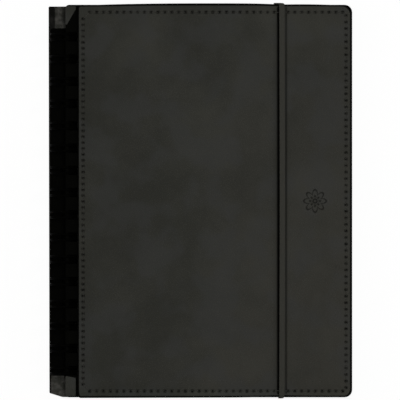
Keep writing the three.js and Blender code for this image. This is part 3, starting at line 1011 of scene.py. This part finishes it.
def roundedCorners(corners, steps):
    # arcs of a convex outline, counter-clockwise: each point's centre, direction and radius
    arcs = []
    for i, (x, y, radius) in enumerate(corners):
        before = np.array(corners[i - 1][:2])
        after = np.array(corners[(i + 1) % len(corners)][:2])
        here = np.array((x, y))
        come = (here - before) / np.linalg.norm(here - before)
        leave = (after - here) / np.linalg.norm(after - here)
        turn = math.atan2(come[0] * leave[1] - come[1] * leave[0], float(come @ leave))
        centre = here - come * (radius * math.tan(turn / 2)) + radius * np.array((-come[1], come[0]))
        start = math.atan2(-come[0], come[1])
        for j in range(steps + 1):
            angle = start + turn * j / steps
            arcs.append((centre[0], centre[1], math.cos(angle), math.sin(angle), radius))
    return arcs


def insetOutline(arcs, inset):
    return [(x + dx * (radius - inset), y + dy * (radius - inset)) for x, y, dx, dy, radius in arcs]


def plate(corners, low, high, edge, steps=6, edgeSteps=3):
    # rings from the bottom's inside out, up the rounded edge and over the top
    arcs = roundedCorners(corners, steps)
    angles = [math.pi / 2 * i / edgeSteps for i in range(edgeSteps + 1)]
    turns = [(edge * (1 - math.sin(angle)), edge * (1 - math.cos(angle))) for angle in angles]
    levels = [(inset, low + rise) for inset, rise in turns]
    levels += [(inset, high - drop) for inset, drop in reversed(turns)]
    points = []
    for inset, z in levels:
        points += [(x, y, z) for x, y in insetOutline(arcs, inset)]
    faces = ringFaces(len(levels), len(arcs))
    faces.append(tuple(range(len(points) - len(arcs), len(points))))
    return points, faces


def addLeather(piece, corners, low, look):
    # adds a flat part to a piece's mesh, as a loose shell
    points, faces = plate(corners, low, low + look["thickness"], look["edge"])
    attributes = {"darkness": [0.0] * len(points), "edgeWearAndLight": [look["wearAndLight"]] * len(points)}
    added = addPiece(piece.name + "Part", points, faces, leather, attributes)
    reshape(piece, lambda shape: shape.from_mesh(added.data))
    bpy.data.objects.remove(added)


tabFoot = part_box("front_cover_skin")[0].z
tabLeft, tabRight, tabCorner = tabLook["left"], tabLook["right"], tabLook["corner"]
addLeather(frontSkin, [
    (tabLeft, frontCover["high"], tabCorner),
    (tabLeft, tabLook["headAtSpine"], tabCorner),
    (tabRight, tabLook["headAtPanel"], tabCorner),
    (tabRight, frontCover["high"], tabCorner),
], tabFoot, tabLook)
addLeather(frontSkin, [
    (tabLeft, frontCover["low"], tabCorner),
    (tabRight, frontCover["low"], tabCorner),
    (tabRight, tabLook["tailAtPanel"], tabCorner),
    (tabLeft, tabLook["tailAtSpine"], tabCorner),
], tabFoot, tabLook)
dress(frontSkin, "leatherette", "front_cover", "front_cover_skin")

cutX, cutY = flapLook["tailCut"]
flapTail = backLow.y - flapLook["tailPast"]
addLeather(backSkin, [
    (backLow.x + cutX, flapTail, flapLook["cutCorner"]),
    (flapLook["right"], flapTail, flapLook["corner"]),
    (flapLook["right"], backHigh.y, flapLook["corner"]),
    (backLow.x - flapLook["spinePast"], backHigh.y, flapLook["corner"]),
    (backLow.x, flapTail + cutY, flapLook["corner"]),
], 0.0, flapLook)
dress(backSkin, "leatherette", "back_cover", "back_cover_skin")


# Geometry Nodes

class Grower(Graph):
    # a geometry tree under way, with named inputs
    def __init__(self, name, **inputs):
        super().__init__(bpy.data.node_groups.new(name, "GeometryNodeTree"))
        self.tree.is_modifier = True
        self.identifiers = {}
        for kind, labels in {"Geometry": ["Geometry"], **inputs, "Material": ["Material"]}.items():
            for label in labels:
                self.identifiers[label] = self.socket(label, "INPUT", kind).identifier
        self.socket("Geometry", "OUTPUT", "Geometry")
        self.start = self.node("NodeGroupInput", None, None)

    def socket(self, label, side, kind):
        return self.tree.interface.new_socket(label, in_out=side, socket_type="NodeSocket" + kind)

    def input(self, label):
        return Value(self, self.start.outputs[label])

    def wander(self, least, most):
        sockets = {"Min": least, "Max": most, "Seed": self.input("Seed")}
        return self.node("FunctionNodeRandomValue", sockets, data_type="FLOAT_VECTOR")

    def shifted(self, geometry, offset):
        return self.node("GeometryNodeSetPosition", {"Geometry": geometry, "Offset": offset})

    def row(self, count, first, step):
        sockets = {"Count": count, "Start Location": first, "Offset": step}
        return self.node("GeometryNodeMeshLine", sockets, mode="OFFSET", count_mode="TOTAL")

    def finishWith(self, points, instance, **sockets):
        # puts an instance on each point, makes all real and gives it its material
        sockets.update(Points=points, Instance=instance)
        placed = self.node("GeometryNodeInstanceOnPoints", sockets)
        real = self.node("GeometryNodeRealizeInstances", {0: placed})
        done = self.node("GeometryNodeSetMaterial", {0: real, "Material": self.input("Material")})
        self.node("NodeGroupOutput", {"Geometry": done}, None)
        return self


def lineMesh(name, points, edges):
    mesh = bpy.data.meshes.new(name)
    mesh.from_pydata(points, edges, [])
    return mesh


def grown(name, mesh, tree, values):
    # runs a tree on a mesh and keeps the result as a plain piece
    seed = addObject(name + "Seed", mesh)
    modifier = seed.modifiers.new("grow", "NODES")
    modifier.node_group = tree.tree
    for label, value in values.items():
        modifier[tree.identifiers[label]] = value
    seed.update_tag()
    bpy.context.view_layer.update()
    graph = bpy.context.evaluated_depsgraph_get()
    result = bpy.data.meshes.new_from_object(seed.evaluated_get(graph))
    seed.modifiers.remove(modifier)
    bpy.data.objects.remove(seed)
    result.name = name
    return addObject(name, result)


stitchLook = {
    "Thread": 0.44 * mm,
    "Rise": 0.10 * mm,
    "Dive": 0.5 * mm,
    "Twists": 3.0,
    "Drift": 0.05 * mm,
    "Material": thread,
}

stitchForm = {
    "points": 11,
    "sides": 8,
    "oval": (0.5, 0.32, 1.0),
    "endPower": 5.0,
    "smallest": (0.96, 0.9, 0.85),
    "largest": (1.02, 1.1, 1.1),
}

seamLook = {
    "front": {"holes": frontHoles, "height": 17.88 * mm, "side": 1, "seed": 11},
    "back": {"holes": backHoles, "height": 0.34 * mm, "side": -1, "seed": 23},
}


def stitchTree(form):
    # one twisted stitch on each edge of a line of needle holes
    tree = Grower("stitches", Float=["Thread", "Rise", "Dive", "Twists", "Drift"], Int=["Seed"])
    line = tree.node("GeometryNodeCurvePrimitiveLine", {0: (-0.5, 0, 0), 1: (0.5, 0, 0)})
    fine = tree.node("GeometryNodeResampleCurve", {"Curve": line, "Count": form["points"]})
    place = tree.node("GeometryNodeInputPosition")
    x = tree.node("ShaderNodeSeparateXYZ", {0: place})
    ends = (x * 2.0).fold() ** form["endPower"]
    height = tree.input("Rise") - ends * (tree.input("Dive") + tree.input("Rise"))
    bowed = tree.shifted(fine, tree.vector(z=height))
    turns = tree.node("GeometryNodeSplineParameter") * (tree.input("Twists") * fullTurn)
    twisted = tree.node("GeometryNodeSetCurveTilt", {"Curve": bowed, "Tilt": turns})
    sockets = {"Resolution": form["sides"], "Radius": tree.input("Thread")}
    ring = tree.node("GeometryNodeCurvePrimitiveCircle", sockets)
    around = tree.vectors("MULTIPLY", place, form["oval"])
    oval = tree.node("GeometryNodeSetPosition", {"Geometry": ring, "Position": around})
    sockets = {"Curve": twisted, "Profile Curve": oval, "Fill Caps": True}
    stitch = tree.node("GeometryNodeCurveToMesh", sockets)

    start, end = tree.node("GeometryNodeInputMeshEdgeVertices", None, (2, 3))
    kept = tree.node("GeometryNodeCaptureAttribute", {0: tree.input("Geometry")}, None, domain="EDGE")
    kept.capture_items.new("VECTOR", "Way")
    tree.tree.links.new(tree.vectors("SUBTRACT", end, start).socket, kept.inputs[1])
    seam, way = Value(tree, kept.outputs[0]), Value(tree, kept.outputs[1])
    points = tree.node("GeometryNodeMeshToPoints", {0: seam}, mode="EDGES")
    length = tree.node("ShaderNodeVectorMath", {0: way}, "Value", operation="LENGTH")
    turn = tree.node("FunctionNodeAlignRotationToVector", {"Vector": way}, axis="X")
    uneven = tree.wander(form["smallest"], form["largest"])
    size = tree.vectors("MULTIPLY", tree.vector(length, 1.0, 1.0), uneven)
    spread = tree.vector(tree.input("Drift"), tree.input("Drift"))
    drift = tree.wander(tree.vectors("MULTIPLY", spread, (-1.0, -1.0, -1.0)), spread)
    return tree.finishWith(tree.shifted(points, drift), stitch, Rotation=turn, Scale=size)


def sewLine(name, look, tree, holes, height, side, seed):
    # side is 1 for stitches that rise upwards, -1 for those of the underside
    points = [(hole[0], hole[1], height) for hole in holes]
    edges = [(i, (i + 1) % len(points)) for i in range(len(points))]
    values = dict(look, Rise=look["Rise"] * side, Dive=look["Dive"] * side, Seed=seed)
    piece = grown(name, lineMesh(name + "Seed", points, edges), tree, values)
    piece.data.shade_smooth()
    return piece


stitches = stitchTree(stitchForm)
for cover, seam in seamLook.items():
    sewn = sewLine(cover + "Stitches", stitchLook, stitches, **seam)
    dress(sewn, "thread", cover + "_cover", cover + "_cover_thread")


# The binding wire: one double loop and its link, repeated down the spine

wireLook = {
    "axisX": -78.35 * mm,
    "axisZ": 9.25 * mm,
    "centreY": -1.5 * mm,
    "count": 16,
    "pitch": 12.7 * mm,
    "spacing": 3.2 * mm,
    "ring": 7.3 * mm,
    "diameter": 1.2 * mm,
    "bend": 1.1 * mm,
    "closingGap": 0.9 * mm,
    "endStub": 1.6 * mm,
    "loopSteps": 44,
    "bendSteps": 6,
    "hairpinSteps": 10,
    "sides": 12,
    "weld": 0.02 * mm,
}


def wireUnit(look):
    # one double loop about the Y axis, from the middle of one link to the middle of the next
    link = (look["closingGap"] + look["diameter"]) / 2
    hairpin = look["spacing"] / 2
    bend, steps = look["bend"], look["loopSteps"]
    begin = link + bend
    end = fullTurn * look["ring"] - link - hairpin
    flat = [(link, -look["pitch"] / 2)]

    def turn(atGirth, atY, radius, start, stop, parts):
        for i in range(parts + 1):
            angle = start + (stop - start) * i / parts
            flat.append((atGirth + radius * math.cos(angle), atY + radius * math.sin(angle)))

    quarter = math.pi / 2
    turn(begin, -hairpin - bend, bend, math.pi, quarter, look["bendSteps"])
    flat += [(begin + (end - begin) * i / steps, -hairpin) for i in range(1, steps)]
    turn(end, 0.0, hairpin, -quarter, quarter, look["hairpinSteps"])
    flat += [(end + (begin - end) * i / steps, hairpin) for i in range(1, steps)]
    turn(begin, hairpin + bend, bend, -quarter, -math.pi, look["bendSteps"])
    flat.append((link, look["pitch"] / 2))
    points = []
    for along, y in flat:
        angle = along / look["ring"] - quarter
        points.append((look["ring"] * math.cos(angle), y, look["ring"] * math.sin(angle)))
    return points


def wireTree():
    tree = Grower("double loop wire", Int=["Loops", "Sides"], Float=["Pitch", "Radius"], Vector=["First"])
    curve = tree.node("GeometryNodeMeshToCurve", {0: tree.input("Geometry")})
    place = tree.node("GeometryNodeInputPosition")
    flat = tree.vectors("MULTIPLY", place, (1.0, 0.0, 1.0))
    radial = tree.node("ShaderNodeVectorMath", {0: flat}, operation="NORMALIZE")
    steady = tree.node("GeometryNodeSetCurveNormal", {"Curve": curve, "Normal": radial}, mode="FREE")
    sockets = {"Resolution": tree.input("Sides"), "Radius": tree.input("Radius")}
    ring = tree.node("GeometryNodeCurvePrimitiveCircle", sockets)
    tube = tree.node("GeometryNodeCurveToMesh", {"Curve": steady, "Profile Curve": ring})
    step = tree.vector(y=tree.input("Pitch"))
    return tree.finishWith(tree.row(tree.input("Loops"), tree.input("First"), step), tube)


def makeWire(look):
    points = wireUnit(look)
    edges = [(i, i + 1) for i in range(len(points) - 1)]
    firstLoop = look["centreY"] - (look["count"] - 1) / 2 * look["pitch"]
    wire = grown("bindingWire", lineMesh("bindingWireSeed", points, edges), wireTree(), {
        "Loops": look["count"],
        "Pitch": look["pitch"],
        "First": (look["axisX"], firstLoop, look["axisZ"]),
        "Radius": look["diameter"] / 2,
        "Sides": look["sides"],
        "Material": wireCoat,
    })
    wire.data.shade_smooth()
    half = ((look["count"] - 1) * look["pitch"] + look["spacing"]) / 2 + look["bend"] + look["endStub"]

    def joinAndCut(shape):
        # the end links are cut short, as stubs
        bmesh.ops.remove_doubles(shape, verts=shape.verts, dist=look["weld"])
        for vertex in shape.verts:
            vertex.co.y = max(look["centreY"] - half, min(look["centreY"] + half, vertex.co.y))
        ends = [edge for edge in shape.edges if edge.is_boundary]
        bmesh.ops.holes_fill(shape, edges=ends, sides=look["sides"])
        faceOut(shape)

    reshape(wire, joinAndCut)
    return wire


dress(makeWire(wireLook), "coated_wire", "back_cover", "binding_wire")


# Page sections: loose punched leaves

pageLook = {
    "leaf": 0.085 * mm,
    "pitch": 0.1 * mm,
    "shift": 0.18 * mm,
    "cornerFore": 3.0 * mm,
    "cornerSpine": 1.5 * mm,
    "spineTrim": 0.4 * mm,
    "holeLeft": -75.7 * mm,
    "holeRight": -69.6 * mm,
    "holeTall": 6.5 * mm,
    "holeCorner": 0.5 * mm,
    "cornerSteps": 5,
    "holeSteps": 2,
    "seed": 31,
}


def roundedBox(left, right, low, high, spine, fore, steps):
    corners = [(left, low, spine), (right, low, fore), (right, high, fore), (left, high, spine)]
    return insetOutline(roundedCorners(corners, steps), 0.0)


def inOrder(faces):
    # the fill lists its triangles in another order on every run, so they are sorted, each from its
    # lowest corner; a four-sided face keeps the diagonal that it is cut along
    turned = []
    for face in faces:
        starts = range(0, len(face), 1 if len(face) == 3 else 2)
        first = min(starts, key=lambda i: face[i])
        turned.append(face[first:] + face[:first])
    return sorted(turned, key=sorted)


def punchedLeaf(box, look, wire):
    # one leaf with its holes, from a flat outline given thickness
    loops = [roundedBox(*box, look["cornerSpine"], look["cornerFore"], look["cornerSteps"])]
    left, right, corner = look["holeLeft"], look["holeRight"], look["holeCorner"]
    for i in range(wire["count"]):
        middle = wire["centreY"] + (i - (wire["count"] - 1) / 2) * wire["pitch"]
        low, high = middle - look["holeTall"] / 2, middle + look["holeTall"] / 2
        loops.append(roundedBox(left, right, low, high, corner, corner, look["holeSteps"])[::-1])
    shape = bmesh.new()
    edges = []
    for loop in loops:
        corners = [shape.verts.new((x, y, 0.0)) for x, y in loop]
        edges += [shape.edges.new(pair) for pair in zip(corners, corners[1:] + corners[:1])]
    bmesh.ops.triangle_fill(shape, use_beauty=True, use_dissolve=False, edges=edges, normal=(0, 0, 1))
    raised = bmesh.ops.extrude_face_region(shape, geom=shape.faces[:])
    for part in raised["geom"]:
        if isinstance(part, bmesh.types.BMVert):
            part.co.z += look["leaf"]
    faceOut(shape)
    shape.verts.index_update()
    points = [tuple(vertex.co) for vertex in shape.verts]
    faces = inOrder([[vertex.index for vertex in face.verts] for face in shape.faces])
    shape.free()
    mesh = bpy.data.meshes.new("leaf")
    mesh.from_pydata(points, [], faces)
    return mesh


def leafTree():
    tree = Grower("stack of leaves", Int=["Leaves", "Seed"], Float=["Pitch", "Lowest", "Shift"])
    lowest = tree.vector(z=tree.input("Lowest"))
    line = tree.row(tree.input("Leaves"), lowest, tree.vector(z=tree.input("Pitch")))
    most = tree.vector(tree.input("Shift"), tree.input("Shift"))
    slip = tree.wander(tree.vectors("MULTIPLY", most, (-1.0, -1.0, -1.0)), most)
    return tree.finishWith(tree.shifted(line, slip), tree.input("Geometry"))


pageLow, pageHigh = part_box("notes_pages")
leafBox = (pageLow.x + pageLook["spineTrim"], pageHigh.x, pageLow.y, pageHigh.y)
leafMesh = punchedLeaf(leafBox, pageLook, wireLook)
stack = leafTree()
sections = [
    ("notesLeaves", "notes", ruledPaper),
    ("fourthQuarterLeaves", "fourth_quarter", weekPaper),
    ("thirdQuarterLeaves", "third_quarter", weekPaper),
    ("secondQuarterLeaves", "second_quarter", weekPaper),
    ("firstQuarterLeaves", "first_quarter", weekPaper),
    ("yearPlannerLeaves", "year_planner", yearPaper),
]
for number, (name, body, material) in enumerate(sections):
    low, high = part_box(body + "_pages")
    section = grown(name, leafMesh, stack, {
        "Leaves": int(round((high.z - low.z) / pageLook["pitch"])),
        "Pitch": pageLook["pitch"],
        "Lowest": low.z + 0.5 * (pageLook["pitch"] - pageLook["leaf"]),
        "Shift": pageLook["shift"],
        "Seed": pageLook["seed"] + number,
        "Material": material,
    })
    dress(section, "paper", body, body + "_pages")


# Elastic band: one strip from the back cover over both edges and the front

bandLook = {
    "width": 3.12 * mm,
    "thickness": 0.82 * mm,
    "edge": 0.34 * mm,
    "footY": 110.6 * mm,
    "footRun": 0.4 * mm,
    "footZ": 2.85 * mm,
    "sideY": 112.55 * mm,
    "lowBend": 0.85 * mm,
    "bendSteps": 6,
    "overTail": [(112.5, 15.1), (112.35, 15.8), (112.1, 16.5), (111.85, 17.2), (111.55, 17.85),
                 (111.15, 18.4), (110.6, 18.8), (109.9, 18.98), (109.0, 19.02), (107.0, 19.04)],
    "overHead": [(112.68, 14.3), (112.92, 15.0), (112.96, 15.8), (112.96, 16.8), (112.9, 17.4),
                 (112.74, 18.02), (112.32, 18.54), (111.68, 18.88), (110.8, 19.0), (109.8, 19.04),
                 (107.0, 19.04)],
    "frontZ": 19.04 * mm,
    "sideStep": 1.2 * mm,
    "frontStep": 2.4 * mm,
    "aside": 0.22 * mm,
    "bow": 0.4 * mm,
    "bowFrom": 112 * mm,
    "bowPower": 6,
    "edgeSteps": 4,
    "pullHead": 3.5 * mm,
    "pullTail": 0.9 * mm,
    "pullUp": (4.5 * mm, 14.5 * mm),
    "pullDown": (-18.9 * mm, -14.8 * mm),
    "flatFrom": (17.4 * mm, 18.7 * mm),
    "narrowed": 0.26,
    "thinned": 0.36,
    "stretch": (4.0 * mm, 17.4 * mm),
}


def halfPath(look, over):
    # one half of the strip's middle line in y and z, from a foot over the edge to the front's middle
    bend, steps = look["lowBend"], look["bendSteps"]
    points = [(look["footY"], look["footZ"]), (look["footY"] + look["footRun"], look["footZ"])]
    centreY, centreZ = look["sideY"] - bend, look["footZ"] + bend
    for i in range(1, steps + 1):
        angle = math.pi / 2 * i / steps - math.pi / 2
        points.append((centreY + bend * math.cos(angle), centreZ + bend * math.sin(angle)))
    over = [(y * mm, z * mm) for y, z in over]
    points += [(look["sideY"], z) for z in spaced(centreZ, over[0][1], look["sideStep"])[1:-1]]
    points += over
    return points + [(y, look["frontZ"]) for y in spaced(over[-1][0], 0.0, look["frontStep"])[1:-1]]


def bandPath(look):
    tail = [(-y, z) for y, z in halfPath(look, look["overTail"])]
    return tail + [(0.0, look["frontZ"])] + halfPath(look, look["overHead"])[::-1]


def bandSection(look):
    # across and out from the middle line, rounded at both edges
    edge = look["edge"]
    section = []
    for sx, sz, start in ((1, 1, 0.0), (-1, 1, 0.5), (-1, -1, 1.0), (1, -1, 1.5)):
        for i in range(look["edgeSteps"] + 1):
            angle = math.pi * (start + 0.5 * i / look["edgeSteps"])
            section.append((
                sx * (look["width"] / 2 - edge) + edge * math.cos(angle),
                sz * (look["thickness"] / 2 - edge) + edge * math.sin(angle),
            ))
    return section


def makeBand(look):
    path = np.array(bandPath(look))
    ways = np.gradient(path, axis=0)
    ways /= np.linalg.norm(ways, axis=1)[:, None]
    run = np.concatenate([[0], np.cumsum(np.linalg.norm(np.diff(path, axis=0), axis=1))])
    section = bandSection(look)
    inner = look["thickness"] / 2
    points = []
    across = []
    for (y, z), (wy, wz) in zip(path, ways):
        # beside the pages the strip is pulled aside, and stretched narrower and thinner
        pull = look["pullHead"] if y > 0 else look["pullTail"]
        pull = pull * (smooth(-z, *look["pullDown"]) * smooth(z, *look["pullUp"]))
        bow = look["bow"] * abs(y / look["bowFrom"]) ** look["bowPower"]
        middle = bandCentre + look["aside"] - bow - pull
        beside = 1 - smooth(z, *look["flatFrom"])
        for u, v in section:
            out = (v + inner) * (1 - look["thinned"] * beside) - inner
            points.append((middle + u * (1 - look["narrowed"] * beside), y - wz * out, z + wy * out))
            across.append(u / look["width"] + 0.5)
    faces = ringFaces(len(path), len(section))
    faces.append(tuple(range(len(points) - len(section), len(points))))
    along = np.repeat(run, len(section))
    piece = addPiece("elasticBand", points, faces, elasticWeave, {"bandAcross": across, "bandAlong": along})
    reshape(piece, faceOut)
    return piece


elasticBand = makeBand(bandLook)
dress(elasticBand, "elastic", None, "elastic_front_run", "elastic_head_run", "elastic_tail_run")
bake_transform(elasticBand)


# Finishes for the nodes that stay as they are

carried = {
    "front_cover_lining": blackSheetAndShade,
    "back_cover_lining": blackSheetAndShade,
    # the black spine liner stands where the spine's hollow is in shade
    "spine_liner": blackSheetAndShade,
    "front_cover_board": board,
    "back_cover_board": board,
    "front_cover_foam": foam,
    "back_cover_foam": foam,
    "elastic_head_anchor": anchorWeave,
    "elastic_tail_anchor": anchorWeave,
}
for node, material in carried.items():
    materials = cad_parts[node].data.materials
    materials.clear()
    materials.append(material)
print("diary: carried nodes finished")


# Floor, light and camera

stageLook = {
    "floorHalf": 1.6,
    "floorColour": (0.95, 0.95, 0.945),
    "floorSpeck": (0.9, 0.9, 0.89),
    "speckSize": 4 * mm,
    "shadowKept": 0.08,
    "skyStrength": 0.38,
    "lights": {
        "overhead": {"power": 8.8, "size": 0.3, "place": (0.08, 0.1, 1.4)},
        "key": {"power": 3.8, "size": 0.45, "place": (0.85, 0.3, 1.1)},
        "fill": {"power": 1.6, "size": 0.9, "place": (-1.0, 0.3, 0.95)},
    },
    "sensor": 36,
    "cameraHeight": 9.0,
    "pictureWidth": 228.2 * mm,
    "centreX": -0.4 * mm,
    "centreY": 0.6 * mm,
    "coverTop": 18.5 * mm,
    "farthest": 60,
}
white = (1, 1, 1, 1)


def floorFinish(name, look):
    finish = Finish(name)
    speck = finish.noise(look["speckSize"]) * 0.05
    tone = finish.mix(speck, look["floorColour"], look["floorSpeck"])
    matt = finish.node("ShaderNodeBsdfDiffuse", {"Color": tone}, "BSDF")
    glow = finish.node("ShaderNodeEmission", {"Color": white, "Strength": 1.0}, "Emission")
    share = finish.seenRays() * (1 - look["shadowKept"])
    return finish.shown(finish.node("ShaderNodeMixShader", {0: share, 1: matt, 2: glow}))


def makeFloor(look):
    half = look["floorHalf"]
    corners = [(-half, -half, 0), (half, -half, 0), (half, half, 0), (-half, half, 0)]
    floor = addPiece("floor", corners, [(0, 1, 2, 3)], floorFinish("pale floor", look))


def makeLights(look):
    for name, settings in look["lights"].items():
        lamp = bpy.data.lights.new(name, "AREA")
        lamp.shape = "DISK"
        lamp.size = settings["size"]
        lamp.energy = settings["power"]
        light = addObject(name, lamp)
        light.location = settings["place"]
        light.rotation_euler = (-Vector(settings["place"])).to_track_quat("-Z", "Y").to_euler()


def makeSky(look):
    world = bpy.data.worlds.new("white room")
    world.use_nodes = True
    sky = Graph(world.node_tree)
    light = sky.node("ShaderNodeBackground", {"Color": white, "Strength": look["skyStrength"]})
    plain = sky.node("ShaderNodeBackground", {"Color": white, "Strength": 1.0})
    mixed = sky.node("ShaderNodeMixShader", {0: sky.seenRays(), 1: light, 2: plain})
    sky.node("ShaderNodeOutputWorld", {"Surface": mixed}, None)
    scene.world = world


def makeCamera(look):
    lens = bpy.data.cameras.new("camera")
    lens.sensor_width = look["sensor"]
    lens.lens = look["sensor"] * look["cameraHeight"] / look["pictureWidth"]
    lens.clip_end = look["farthest"]
    camera = addObject("camera", lens)
    camera.location = (look["centreX"], look["centreY"], look["coverTop"] + look["cameraHeight"])
    scene.camera = camera


scene.view_settings.view_transform = "Standard"
makeFloor(stageLook)
makeSky(stageLook)
makeLights(stageLook)
makeCamera(stageLook)
print("diary: stage ready")
